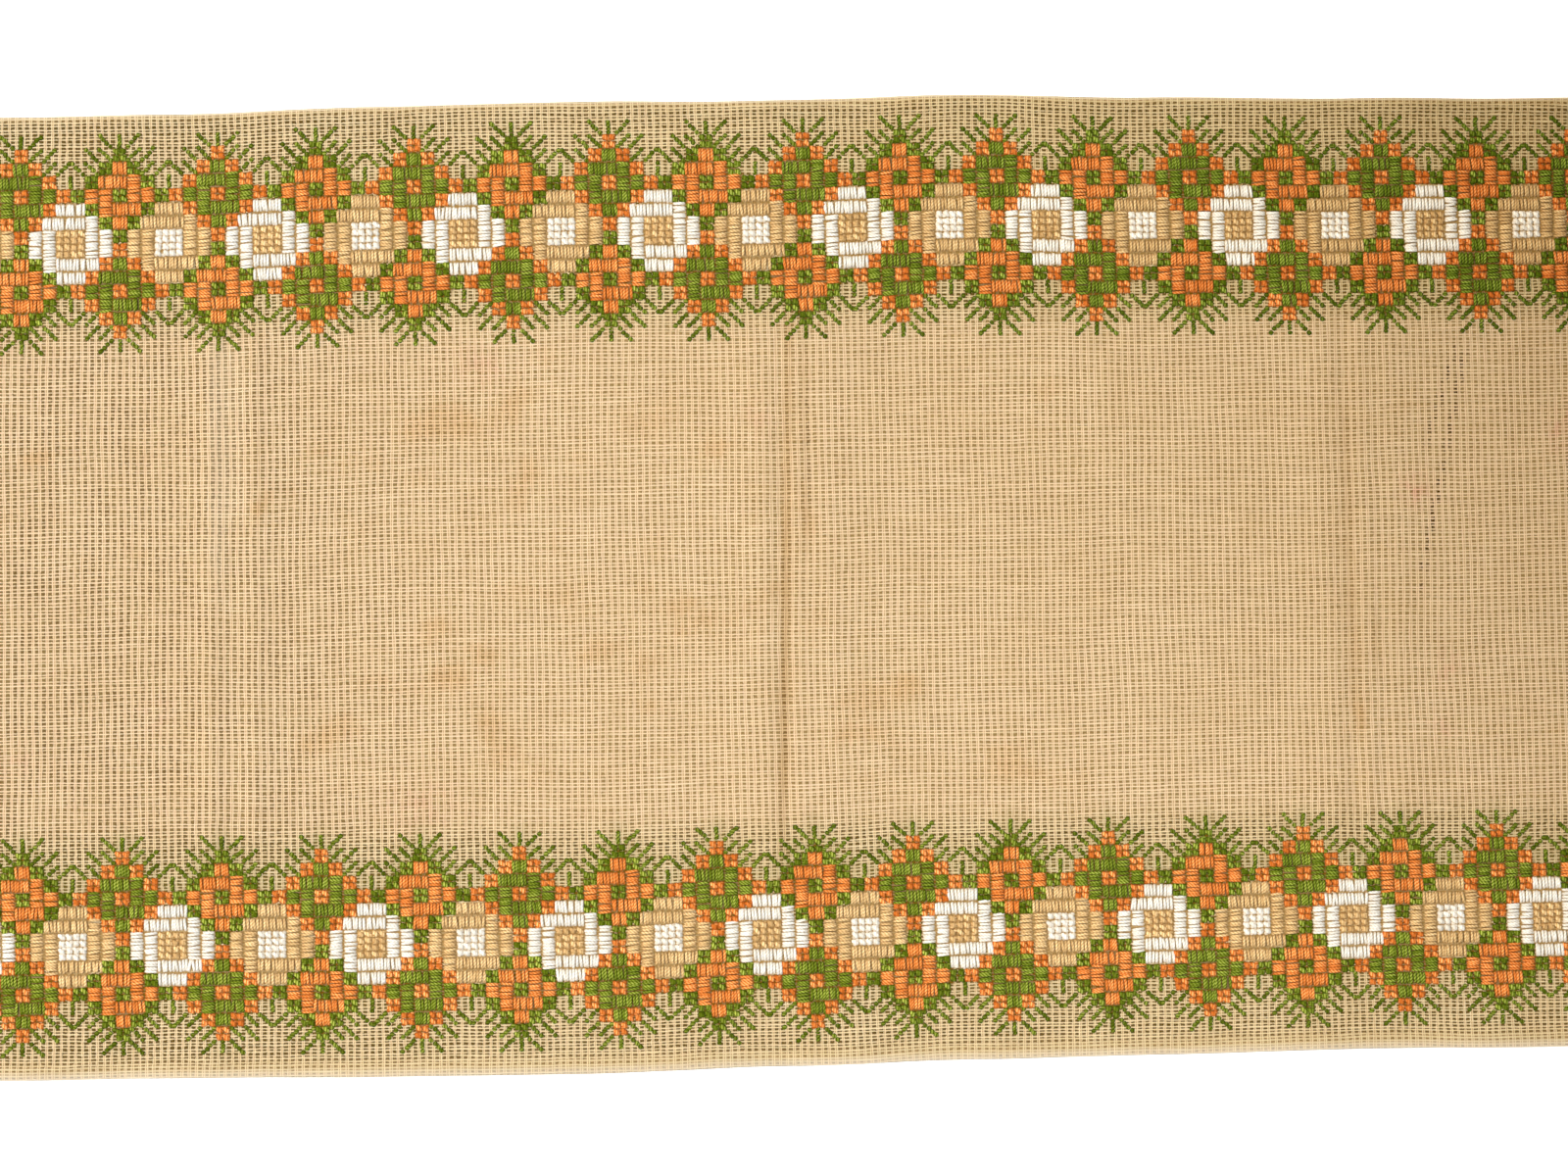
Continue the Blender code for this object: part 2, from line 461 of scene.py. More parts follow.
def bar(first, last, bottom):
    """Upright satin stitches over one unit, from one thread to another."""
    count = round(last - first) + 1
    return [(u, bottom, u, bottom + UNIT) for u in np.linspace(first + BAR_INSET, last - BAR_INSET, count)]


def pinwheel(colour, middle, first, last, bottom):
    """Four bars that follow each other round the middle."""
    for quarters in range(4):
        work(colour, "satin", [moved(turned(row, quarters), middle) for row in bar(first, last, bottom)])


def crosses(colour, middle, across):
    """A square block of cross stitches over two threads each, so many across."""
    low = -across
    for i in range(across):
        for j in range(across):
            u, v = middle[0] + low + 2 * i, middle[1] + low + 2 * j
            work(colour, "lower arm", [(u, v, u + 2, v + 2)])
            work(colour, "upper arm", [(u, v + 2, u + 2, v)])


def ray(middle, start, end):
    """A green line of small back stitches, from one place to another in units."""
    steps = np.linspace(start, end, RAY_STITCHES + 1) * UNIT
    for a, b in zip(steps, steps[1:]):
        work("green", "ray", [moved((*a, *b), middle)])


# %% [markdown]
# ## The motifs
# A flower is a centre of crosses, a pinwheel of long bars and a short bar on each side. A diamond is the
# same at a smaller size, ringed by twelve little blocks in the other colour. White and tan flowers take
# turns, and so do green and orange diamonds. Green rays fan out from each diamond on the side that faces
# away from the flowers.

# %% Flowers, diamonds and rays
RING = [(i, j) for i in range(-3, 4) for j in range(-3, 4) if abs(i) + abs(j) == 3]
RAYS = (
    (0, 7, 0, 8),
    (0.5, 7, 1.5, 8),
    (0.5, 6, 1.5, 7),
    (1.5, 6, 2.5, 7),
    (1.5, 5, 2.5, 6),
    (2.5, 5, 3.5, 6),
)
OTHER = {"green": "orange", "orange": "green", "white": "tan", "tan": "white"}


def flower(colour, middle):
    """One flower with its centre, pinwheel and four outer bars."""
    crosses(OTHER[colour], middle, 4)
    pinwheel(colour, middle, -2 * UNIT, UNIT, UNIT)
    pinwheel(colour, middle, -UNIT, UNIT, 2 * UNIT)


def diamond(colour, middle):
    """One diamond with its ring of blocks."""
    crosses(OTHER[colour], middle, 2)
    pinwheel(colour, middle, -1.5 * UNIT, 0.5 * UNIT, 0.5 * UNIT)
    pinwheel(colour, middle, -0.5 * UNIT, 0.5 * UNIT, 1.5 * UNIT)
    for i, j in RING:
        crosses(OTHER[colour], (middle[0] + i * UNIT, middle[1] + j * UNIT), 2)


def fan(column, side):
    """Rays beyond one diamond, on the high side of the flowers or the low one."""
    for u0, v0, u1, v1 in RAYS:
        for way in (-1, 1) if u1 else (1,):
            ray((column, FLOWER_ROW), (way * u0, side * v0), (way * u1, side * v1))


HALF_REPEAT = FLOWER_REPEAT // 2
for k in range(-FLOWERS // 2, FLOWERS // 2 + 1):
    column = k * FLOWER_REPEAT
    above, below = ("green", "orange") if k % 2 == 0 else ("orange", "green")
    diamond(above, (column, FLOWER_ROW + HALF_REPEAT))
    diamond(below, (column, FLOWER_ROW - HALF_REPEAT))
    fan(column, 1)
    fan(column, -1)
    if k < FLOWERS // 2:
        middle = (column + HALF_REPEAT, FLOWER_ROW)
        flower("white" if k % 2 == 0 else "tan", middle)
        ray(middle, (0, 4), (0, 5))
        ray(middle, (0, -4), (0, -5))
print({f"{colour} {kind}": len(rows) for (colour, kind), rows in chart.items()})

# %% [markdown]
# ## Laying the stitches
# Each colour of each border becomes one mesh. The template is repeated for all its stitches at once: a
# corner's place in thread counts comes from the stitch's two ends, and `place` and `underside` carry it
# to the cloth. No two stitches by hand are the same, so a seeded random draw moves the ends a little and
# changes the height. The other border is the same chart turned half way round, as on the real runner.
# Each kind of stitch has its template, its width in threads, its height in metres, how much painted
# shade it takes from its neighbours, and how much its tone varies.

# %% Build the stitch meshes
KINDS = {
    "satin": (satin, 1.02, 0.00092, 0.0, 1.0),
    "ray": (arm, 1.42, 0.00060, 0.50, 1.4),
    "lower arm": (arm, 1.45, 0.00060, 0.6, 1.3),
    "upper arm": (arm, 1.38, 0.00095, 0.1, 1.7),
}
SHORT_IN_FLOWERS = {"satin": 0.06, "ray": -0.12, "lower arm": 0.05, "upper arm": 0.05}
SHORT_IN_DIAMONDS = {"satin": 0.0, "ray": -0.12, "lower arm": 0.09, "upper arm": 0.09}
JITTER = 0.11
LEAN = 0.16
SEATED = 0.00012
UNLIKE = 0.08
chance = np.random.default_rng(7)


def stitch_corners(rows, kind, colour):
    """Places, UVs and shades of all corners of one kind of stitch."""
    template, width, height, shade_from_neighbours, spread = KINDS[kind]
    ends = np.array(rows, dtype=float).reshape(-1, 2, 2)
    ends += chance.normal(0, JITTER, ends.shape)
    run = ends[:, 1] - ends[:, 0]
    run += chance.normal(LEAN, LEAN, (len(rows), 1)) * np.column_stack((-run[:, 1], run[:, 0])) / UNIT
    length = np.linalg.norm(run, axis=1, keepdims=True)
    way = run / length
    short = (SHORT_IN_FLOWERS if colour in ("white", "tan") else SHORT_IN_DIAMONDS)[kind]
    start, span = ends[:, 0] + way * short, length - 2 * short
    aside = np.column_stack((-way[:, 1], way[:, 0]))
    along_shares, aside_shares = template["along"][None, :, None], template["aside"][None, :, None]
    counts = start[:, None] + way[:, None] * span[:, None] * along_shares
    counts = counts + aside[:, None] * aside_shares * (width / 2)
    thickness = chance.normal(1, UNLIKE, (len(rows), 1)) * height
    u, v = counts[..., 0], counts[..., 1]
    x, y = place(u, v)
    z = underside(u, v) + CANVAS - SEATED + thickness * template["up"][None, :]
    uv = np.stack((template["along"] * span, np.broadcast_to(template["edge"], u.shape)), -1)
    shade = np.broadcast_to(0.5 + (chance.random((len(rows), 1)) - 0.5) * spread, u.shape)
    # Painted shade: where a stitch dives, and where it lies under its neighbours
    dive = np.broadcast_to(np.maximum(template["dive"], shade_from_neighbours), u.shape)
    return np.stack((x, y, z), -1).reshape(-1, 3), uv.reshape(-1, 2), shade.ravel(), dive.ravel()


def stitch_faces(template, count, first):
    """The template's faces, once for each stitch, counted from a first corner."""
    steps = first + np.arange(count)[:, None, None] * len(template["along"])
    return (template["faces"][None] + steps).reshape(-1, 4)


def stitch_piece(name, colour, half_turn):
    """All stitches of one colour in one border, as one mesh."""
    corners, faces, total = [], [], 0
    for kind, (template, *_) in KINDS.items():
        rows = np.array(chart.get((colour, kind), [])).reshape(-1, 4)
        if not len(rows):
            continue
        corners.append(stitch_corners(-rows if half_turn else rows, kind, colour))
        faces.append(stitch_faces(template, len(rows), total))
        total += len(rows) * len(template["along"])
    co, uv, shade, dive = (np.concatenate(values) for values in zip(*corners))
    quads = np.concatenate(faces)
    mesh = bpy.data.meshes.new(name)
    mesh.vertices.add(total)
    mesh.vertices.foreach_set("co", co.ravel())
    mesh.loops.add(quads.size)
    mesh.loops.foreach_set("vertex_index", quads.ravel())
    mesh.polygons.add(len(quads))
    mesh.polygons.foreach_set("loop_start", np.arange(len(quads)) * 4)
    mesh.update(calc_edges=True)
    mesh.uv_layers.new(name="stitch").uv.foreach_set("vector", uv[quads.ravel()].ravel())
    keep_number(mesh, "shade", shade)
    keep_number(mesh, "dive", dive)
    return new_piece(name, mesh)


stitches = []
for colour in ("green", "orange", "white", "tan"):
    for border, half_turn in (("high", False), ("low", True)):
        piece = stitch_piece(f"{colour}_stitches_{border}", colour, half_turn)
        stitches.append((piece, colour))
        print(piece.name, "triangles", 2 * len(piece.data.polygons))

# %% [markdown]
# ## Node helpers
# Materials are node trees. A few small helpers keep them readable. `feed` links or sets a node's inputs,
# and `add` adds any node. Those for sums, fades, blends and noise add the nodes used most, and each
# returns an output, so nodes nest like a formula. The last ones make groups and materials.

# %% Helpers for nodes


def feed(tree, node, inputs):
    """Set or link a node's inputs."""
    for socket, source in inputs.items():
        if isinstance(source, bpy.types.NodeSocket):
            tree.links.new(source, node.inputs[socket])
        else:
            node.inputs[socket].default_value = source


def add(tree, kind, inputs=None, output=0, **settings):
    """Add a node, set or link its inputs, and return one output."""
    node = tree.nodes.new(kind)
    for key, value in settings.items():
        setattr(node, key, value)
    feed(tree, node, inputs or {})
    return node.outputs[output]


def maths(tree, operation, *values, clamp=False):
    """Add a Math node."""
    return add(tree, "ShaderNodeMath", dict(enumerate(values)), operation=operation, use_clamp=clamp)


def plus(tree, first, second, clamp=False):
    """The sum of two values."""
    return maths(tree, "ADD", first, second, clamp=clamp)


def minus(tree, first, second):
    """The first value without the second."""
    return maths(tree, "SUBTRACT", first, second)


def times(tree, first, second):
    """The product of two values."""
    return maths(tree, "MULTIPLY", first, second)


def distance(tree, first, second):
    """How far two values lie apart."""
    return maths(tree, "ABSOLUTE", minus(tree, first, second))


def fade(tree, value, start, end):
    """1 below the start, 0 above the end, and smooth between them."""
    inputs = {"Value": value, "From Min": start, "From Max": end, "To Min": 1.0, "To Max": 0.0}
    return add(tree, "ShaderNodeMapRange", inputs, interpolation_type="SMOOTHSTEP")


def blended(tree, share, first, second, way="MIX"):
    """Mix two colours."""
    inputs = {0: share, 6: first, 7: second}
    return add(tree, "ShaderNodeMix", inputs, output=2, data_type="RGBA", blend_type=way)


def noise(tree, vector, scale, detail, roughness, output=0):
    """Add a noise texture. Its output 0 is a value, and its output 1 a colour."""
    inputs = {"Vector": vector, "Scale": scale, "Detail": detail, "Roughness": roughness}
    return add(tree, "ShaderNodeTexNoise", inputs, output=output)


def first_two(tree, vector):
    """The first two numbers of a vector."""
    return add(tree, "ShaderNodeSeparateXYZ", {0: vector}).node.outputs[:2]


def new_group(name, inputs, outputs):
    """A node group with named sockets, what it is given, and the node that takes its results."""
    group = bpy.data.node_groups.new(name, "ShaderNodeTree")
    for way, sockets in (("INPUT", inputs), ("OUTPUT", outputs)):
        for label, kind in sockets.items():
            group.interface.new_socket(label, in_out=way, socket_type=kind)
    return group, group.nodes.new("NodeGroupInput").outputs, group.nodes.new("NodeGroupOutput")


def place_group(tree, group, inputs):
    """Place a node group in a material, and return its outputs."""
    return add(tree, "ShaderNodeGroup", inputs, node_tree=group).node.outputs


def new_material(name):
    """A material made of nodes."""
    material = bpy.data.materials.new(name)
    material.use_nodes = True
    return material


def finish_material(material, surface):
    """Set or link the inputs of a material's shader, and return the material."""
    feed(material.node_tree, material.node_tree.nodes["Principled BSDF"], surface)
    return material


print("helpers ready")

# %% [markdown]
# ## The weave
# The warp threads stand in close pairs, and the weft threads are single, with a larger gap after every
# second one. So a pair of wefts has one large hole and one small one beside each pair of warps. The
# holes are under two millimetres wide, too small to cut out, and are painted with dark shade. This
# group turns thread counts into a mask of holes and a height of threads. Slow noise bends the threads,
# and a little more of it makes some places more open than others.

# %% Group for double-thread canvas
FLOAT, VECTOR, COLOUR = "NodeSocketFloat", "NodeSocketVector", "NodeSocketColor"
BENDS = ((0.018, 2.0), (0.16, 0.25))  # scale of a bend, and how many threads it moves the weave
BEND_NOISE = (1.0, 0.5)  # detail and roughness
UNEVEN = 0.62
HOLE_EDGE = 0.09

# Noises: (scale, detail, roughness), and how far those of streaks and slack are stretched
STREAK_NOISE, STREAK = (0.9, 1.0, 0.5), 0.09
SLUB_NOISE = (1.1, 2.0, 0.65)
FIBRE_NOISE = (2.8, 2.0, 0.7)
SLACK_NOISE, SLACK_STRETCH = (0.15, 3.0, 0.7), (1.0, 0.5)

# Threads: where the middle of one lies from the middle of its pair, how far from there it is full and
# ends, and its least height
WARP = (0.30, 0.02, 0.22, 0.55)
WEFT = (0.42, 0.05, 0.27, 0.35)
LEAST_FUZZ, FUZZ = 0.55, 0.9


def canvas_group():
    """Mask of holes and height of threads from thread counts."""
    sizes = dict.fromkeys(("Hole Width", "Large Hole", "Small Hole"), FLOAT)
    results = dict.fromkeys(("Hole", "Height", "Slack", "Fibres"), FLOAT)
    group, given, result = new_group("double_thread_canvas", {"Threads": VECTOR, **sizes}, results)
    threads = given["Threads"]

    def stretched(along, across):
        """Thread counts stretched along or across, so that noise on them makes streaks."""
        stretch = {0: threads, 1: (along, across, 1.0)}
        return add(group, "ShaderNodeVectorMath", stretch, operation="MULTIPLY")

    def own_way(count, streak):
        """A count that wanders a little from thread to thread."""
        return plus(group, count, times(group, minus(group, streak, 0.5), 0.5))

    def opening(from_hole, size):
        """1 inside a hole, whose half size varies, with a soft edge."""
        half = plus(group, given[size], uneven)
        inner = minus(group, half, HOLE_EDGE)
        return fade(group, from_hole, inner, plus(group, half, HOLE_EDGE))

    def thread(from_middle, streak, shape):
        """Height across one thread, and its changes along it."""
        line, full, end, least = shape
        profile = fade(group, distance(group, from_middle, line), full, end)
        return times(group, profile, plus(group, least, streak))

    bent = threads
    for scale, amount in BENDS:
        wander = noise(group, threads, scale, *BEND_NOISE, output=1)
        wander = add(group, "ShaderNodeVectorMath", {0: wander, 1: (0.5, 0.5, 0.5)}, operation="SUBTRACT")
        wander = add(group, "ShaderNodeVectorMath", {0: wander, "Scale": amount}, operation="SCALE")
        bent = add(group, "ShaderNodeVectorMath", {0: bent, 1: wander}, operation="ADD")
    u, v = first_two(group, bent)
    warp_streak = noise(group, stretched(1.0, STREAK), *STREAK_NOISE)
    weft_streak = noise(group, stretched(STREAK, 1.0), *STREAK_NOISE)
    from_hole = maths(group, "PINGPONG", own_way(u, warp_streak), 1.0)
    from_small = maths(group, "PINGPONG", own_way(v, weft_streak), 1.0)
    from_pair, from_large = minus(group, 1.0, from_hole), minus(group, 1.0, from_small)
    uneven = times(group, minus(group, noise(group, threads, *SLUB_NOISE), 0.5), UNEVEN)
    rows = maths(group, "MAXIMUM", opening(from_large, "Large Hole"), opening(from_small, "Small Hole"))
    hole = times(group, opening(from_hole, "Hole Width"), rows)
    fibres = noise(group, threads, *FIBRE_NOISE)
    height = maths(
        group, "MAXIMUM", thread(from_pair, warp_streak, WARP), thread(from_small, weft_streak, WEFT)
    )
    height = times(group, height, plus(group, LEAST_FUZZ, times(group, fibres, FUZZ)))
    height = times(group, height, minus(group, 1.0, hole))
    slack = noise(group, stretched(*SLACK_STRETCH), *SLACK_NOISE)
    feed(group, result, {"Hole": hole, "Height": height, "Slack": slack, "Fibres": fibres})
    return group


weave = canvas_group()
print("weave group nodes", len(weave.nodes))

# %% [markdown]
# ## Painted shade towards the upper right
# The light falls off towards the right end and the upper border, and that shade is painted into the
# colours. This group turns a place on the runner into a share, which is 0 at the left end and 1 in the
# upper right corner. Canvas and threads both use it, so their painted shade grows together.

# %% Group for the way to the upper right corner
LIT_X, SHADED_X = -0.28, 0.28
LIT_Y, SHADED_Y = -0.12, 0.12
LOWEST_SHARE = 0.4


def corner_shade_group():
    """Share of painted shade, from none at the left end to all of it in the upper right corner."""
    group, given, result = new_group("painted_corner_shade", {"Place": VECTOR}, {"Share": FLOAT})
    x, y = first_two(group, given["Place"])
    to_right, to_top = fade(group, x, SHADED_X, LIT_X), fade(group, y, SHADED_Y, LIT_Y)
    by_height = plus(group, LOWEST_SHARE, times(group, to_top, 1.0 - LOWEST_SHARE))
    feed(group, result, {"Share": times(group, to_right, by_height)})
    return group


painted_corner_shade = corner_shade_group()
print("fading group nodes", len(painted_corner_shade.nodes))

# %% [markdown]
# ## The canvas material
# The material places the weave and chooses colours. The holes are painted with shade, lighter in the
# field, where the yarn is hairy and the mesh is closer, and darker in the margins beside the stitches.
# The left part of the field hangs a little more open than the rest. In the turned hem two layers lie on
# each other, so its holes nearly close. Between two stitches the canvas is painted with their shade,
# tinted with some of their colour, and between the rays it is painted a little darker and greener, for
# stray fibres and their shade, most of all in the inner fans of the near border.
# Narrow lines that slant across the field are short rows of numbers: where the line starts, where it
# ends, its slope and its strength. Some are painted shade along the creases, three are ladders of slack
# holes, and two are painted light on the ridge of a fold. The marks of use come last, each as a light
# wash over what is there, together with the painted shade and light of the creases.

# %% Canvas material
# Counts of threads: where the field, its open left part and the hems begin, and how far stitches reach
FIELD_MIDDLE = 3.0
OPEN_UP_TO, CLOSER_FROM = -200.0, -60.0
HIGH_HEM_NARROWER = 2.8
FIELD_EDGE = (HALF_FIELD - 2.0, HALF_FIELD + 8.0)
HEM_EDGE, PAST_HEM, RIM_EDGE = (1.0, HEM + 2.2), (HEM + 4.0, 2.0), (0.4, 3.0)
LAST_DIAMOND = HALF_LENGTH - END_MARGIN
WORKED_REACH = 12.0
FAN_REACH = 25.0
SOFT_EDGE = 2.0

# Half sizes of the holes, and how much they lose in the field, in the hem and towards the right
HOLE_WIDTH, LARGE_HOLE, SMALL_HOLE = 0.60, 0.36, 0.24
FIELD_NARROWS, FIELD_SHORTENS = 0.08, 0.02
HEM_CLOSES, RIGHT_CLOSES = 0.19, 0.06

# Colours of the yarn on its crests, and of the painted shade in the valleys between threads
CREST_MARGIN = (0.99, 0.83, 0.535, 1)
CREST_FIELD = (1.0, 0.785, 0.54, 1)
VALLEY_SHADE = (0.61, 0.40, 0.195, 1)
IN_HEM = (0.955, 0.955, 0.93, 1)

# Painted shade seen through the holes: where the mesh is slack, and where it is close
HOLES_LEFT = ((0.17, 0.092, 0.025, 1), (0.30, 0.185, 0.064, 1))
HOLES_RIGHT = ((0.29, 0.170, 0.056, 1), (0.37, 0.23, 0.085, 1))
# Painted shade in the holes of the hem, of the margins beside the stitches, and of gaping holes
HOLES_HEM = (0.24, 0.140, 0.045, 1)
HOLES_MARGIN = (0.105, 0.055, 0.007, 1)
HOLES_GAPING = (0.075, 0.030, 0.003, 1)

# Colours of the painted shade between stitches, of marks, of the painted crease shade, and of the painted
# shade in the upper right corner
SHADE_IN_DIAMONDS = (0.19, 0.085, 0.004, 1)
SHADE_IN_FLOWERS = (0.40, 0.24, 0.08, 1)
BROWN_MARK = (0.94, 0.865, 0.775, 1)
PINK_MARK = (0.97, 0.76, 0.82, 1)
CREASE_SHADE_YARN = (0.70, 0.58, 0.40, 1)
CORNER_SHADE_CANVAS = (0.91, 0.89, 0.83, 1)
CORNER_SHADE_MARGIN = (0.83, 0.80, 0.68, 1)

# Washes: (share, colour)
GRAIN = (0.26, (0.62, 0.405, 0.195, 1))
PATCH = (0.10, (0.62, 0.38, 0.17, 1))
# Pale fluff on the rim, with painted sheen
RIM_FLUFF_AND_SHEEN = (0.34, (0.96, 0.86, 0.72, 1))
CREASE_DARKENING_YARN = (0.38, (0.48, 0.26, 0.10, 1))
# Painted light on the ridge of the left fold
PAINTED_RIDGE_LIGHT = (0.16, (1.0, 0.84, 0.62, 1))
HOLES_CREASE_DARKENING = (0.55, (0.10, 0.050, 0.015, 1))
HOLES_CREASE_SHADE = (0.70, (0.14, 0.065, 0.014, 1))
STITCH_SHADE_SHARE = 0.77
# Stray fibres with painted shade between the rays, strongest in the inner fans of the near border
FAN_SHADE, CLOSEST_FAN_SHADE, FIBRES_AND_SHADE_BETWEEN_RAYS = 0.09, 0.15, (1.0, (0.20, 0.19, 0.03, 1))

# Noises: (scale, detail, roughness), and where the masks made with them begin and end
GRAIN_NOISE = (1.8, 3.0, 0.75)
PATCH_NOISE, PATCHES = (0.03, 4.0, 0.6), (0.40, 0.62)
BREAK_NOISE, BREAKS = (0.32, 1.0, 0.5), (0.54, 0.38)
RAGGED_NOISE, RAGGED = (0.25, 3.0, 0.5), 0.8
CLOSE_HOLES = (0.30, 0.66)
BROWN_EDGE, PINK_EDGE = (0.95, 0.08), (0.60, 0.35)
LEAST_HAIRS, HAIRS = 0.62, 0.62

# Slanting lines: (thread along at the top, top, bottom, slope, strength), and how far they reach aside
OPEN_TRACKS = (
    (189.2, 66.0, 28.0, 0.345, 1.0),
    (191.5, 64.5, -12.0, 0.234, 1.0),
    (-0.2, 56.0, 16.0, 0.010, 0.55),
)
# Painted shade along the creases
CREASE_SHADE_TRACKS = (
    (-4.9, 78.0, -84.0, 0.029, 0.38),
    (-6.2, 22.0, -66.0, 0.029, 0.20),
    (-0.4, 78.0, 4.0, 0.010, 0.20),
    (155.2, 47.0, -48.0, -0.014, 0.20),
    (162.2, -8.0, -34.0, -0.030, 0.22),
    (-157.4, 57.0, 4.0, -0.011, 0.10),
)
# Painted light on the ridge of the left fold, on its flank that faces the light
LIT_RIDGE_TRACKS = (
    (-168.8, 72.0, -4.0, 0.0, 0.5),
    (-163.8, 76.0, 12.0, 0.0, 0.3),
)
OPEN_REACH, CREASE_REACH, BRIGHT_REACH, TRACK_CORE = 2.2, 2.0, 4.5, 0.2
TRACK_TOP = (-6.0, 2.0)
TRACK_BOTTOM = 14.0


def attribute(tree, name):
    """A number that the mesh keeps for each vertex."""
    return add(tree, "ShaderNodeAttribute", attribute_name=name, output=2)


def corner_shade_share(tree):
    """The share of painted shade towards the upper right corner, in a material."""
    on_runner = add(tree, "ShaderNodeTexCoord", output="Object")
    return place_group(tree, painted_corner_shade, {"Place": on_runner})["Share"]


def washed(tree, tint, mask, wash):
    """Lay a share of a colour over a tint, through a mask."""
    share, colour = wash
    return blended(tree, times(tree, mask, share), tint, colour)


def on_tracks(tree, u, v, tracks, reach):
    """Slanting lines across the runner: each line's strength on it, and 0 beside it and beyond its ends."""
    total = 0.0
    for top_u, top_v, bottom_v, slope, strength in tracks:
        line = plus(tree, top_u, times(tree, minus(tree, v, top_v), slope))
        on_line = fade(tree, distance(tree, u, line), TRACK_CORE * reach, reach)
        below_top = fade(tree, v, top_v + TRACK_TOP[0], top_v + TRACK_TOP[1])
        above_bottom = fade(tree, v, bottom_v + TRACK_BOTTOM, bottom_v)
        inside = times(tree, times(tree, below_top, above_bottom), strength)
        total = plus(tree, total, times(tree, on_line, inside), clamp=True)
    return total


def under_stitches(tree, u, v):
    """Where flowers and diamonds cover the canvas, the colour of the painted shade between their stitches,
    and the painted shade with stray fibres between the rays.
    """
    from_middle = maths(tree, "ABSOLUTE", u)
    across = distance(tree, maths(tree, "ABSOLUTE", v), FLOWER_ROW)
    to_diamond = maths(tree, "PINGPONG", u, HALF_REPEAT)
    in_flower = plus(tree, minus(tree, HALF_REPEAT, to_diamond), across)
    past_last = times(tree, minus(tree, from_middle, LAST_DIAMOND), UNIT)
    in_flower = plus(tree, in_flower, maths(tree, "MAXIMUM", past_last, 0.0))
    beside_row = distance(tree, across, HALF_REPEAT)
    in_diamond = plus(tree, to_diamond, beside_row)
    nearest = maths(tree, "MINIMUM", in_flower, in_diamond)
    covered = fade(tree, nearest, WORKED_REACH, WORKED_REACH + SOFT_EDGE)
    before_end = fade(tree, from_middle, LAST_DIAMOND + WORKED_REACH, LAST_DIAMOND + HALF_REPEAT)
    covered = times(tree, covered, before_end)
    flower_here = fade(tree, minus(tree, in_flower, in_diamond), -SOFT_EDGE, 0.0)
    between = blended(tree, flower_here, SHADE_IN_DIAMONDS, SHADE_IN_FLOWERS)
    # Painted shade with stray fibres between the rays, most in the near border's inner fans
    from_closest = maths(tree, "ABSOLUTE", plus(tree, v, HALF_FIELD + UNIT))
    closest = fade(tree, from_closest, 2.0 * UNIT, 4.0 * UNIT)
    shade = plus(tree, FAN_SHADE, times(tree, closest, CLOSEST_FAN_SHADE))
    fans = times(tree, fade(tree, in_diamond, WORKED_REACH + SOFT_EDGE, FAN_REACH), shade)
    return covered, between, fans


def canvas_masks(tree, threads):
    """Where on the runner a place is, as named masks."""
    u, v = first_two(tree, threads)
    from_middle = distance(tree, v, FIELD_MIDDLE)
    to_ends = minus(tree, HALF_LENGTH, maths(tree, "ABSOLUTE", u))
    to_high = times(tree, minus(tree, HIGH_EDGE, v), HIGH_HEM_NARROWER)
    to_low = minus(tree, v, LOW_EDGE)
    to_edge = maths(tree, "MINIMUM", maths(tree, "MINIMUM", to_high, to_low), to_ends)
    broken = fade(tree, noise(tree, threads, *BREAK_NOISE), *BREAKS)
    covered, between, fans = under_stitches(tree, u, v)
    return {
        "field": fade(tree, from_middle, *FIELD_EDGE),
        "left": fade(tree, u, OPEN_UP_TO, CLOSER_FROM),
        "to edge": to_edge,
        "past hem": fade(tree, to_edge, *PAST_HEM),
        "gaping": times(tree, on_tracks(tree, u, v, OPEN_TRACKS, OPEN_REACH), broken),
        "crease_shade": on_tracks(tree, u, v, CREASE_SHADE_TRACKS, CREASE_REACH),
        "lit_ridge": on_tracks(tree, u, v, LIT_RIDGE_TRACKS, BRIGHT_REACH),
        "crease_darkening": attribute(tree, "crease_darkening"),
        "covered": covered,
        "between": between,
        "fans": fans,
    }


def woven(tree, threads, masks):
    """Place the weave. Its holes close in the hem, and a little in the field and towards the right."""
    in_hem = times(tree, fade(tree, masks["to edge"], *HEM_EDGE), HEM_CLOSES)
    to_right = times(tree, minus(tree, 1.0, masks["left"]), RIGHT_CLOSES)
    closed = plus(tree, in_hem, to_right)
    width = minus(tree, HOLE_WIDTH, times(tree, masks["field"], FIELD_NARROWS))
    width = minus(tree, width, in_hem)
    large = minus(tree, LARGE_HOLE, closed)
    small = minus(tree, SMALL_HOLE, times(tree, masks["field"], FIELD_SHORTENS))
    small = minus(tree, small, closed)
    sizes = {"Hole Width": width, "Large Hole": large, "Small Hole": small}
    return place_group(tree, weave, {"Threads": threads, **sizes})


def yarn_tint(tree, threads, cloth, masks):
    """The yarn: pale on its crests, with painted shade between them, a fine grain and slow patches."""
    crest = blended(tree, masks["field"], CREST_MARGIN, CREST_FIELD)
    # Painted shade: the yarn darkens from its crests into the valleys between threads
    tint = blended(tree, cloth["Height"], VALLEY_SHADE, crest)
    tint = washed(tree, tint, noise(tree, threads, *GRAIN_NOISE), GRAIN)
    tint = washed(tree, tint, fade(tree, noise(tree, threads, *PATCH_NOISE), *PATCHES), PATCH)
    in_hem = minus(tree, 1.0, masks["past hem"])
    return blended(tree, in_hem, tint, IN_HEM, way="MULTIPLY")


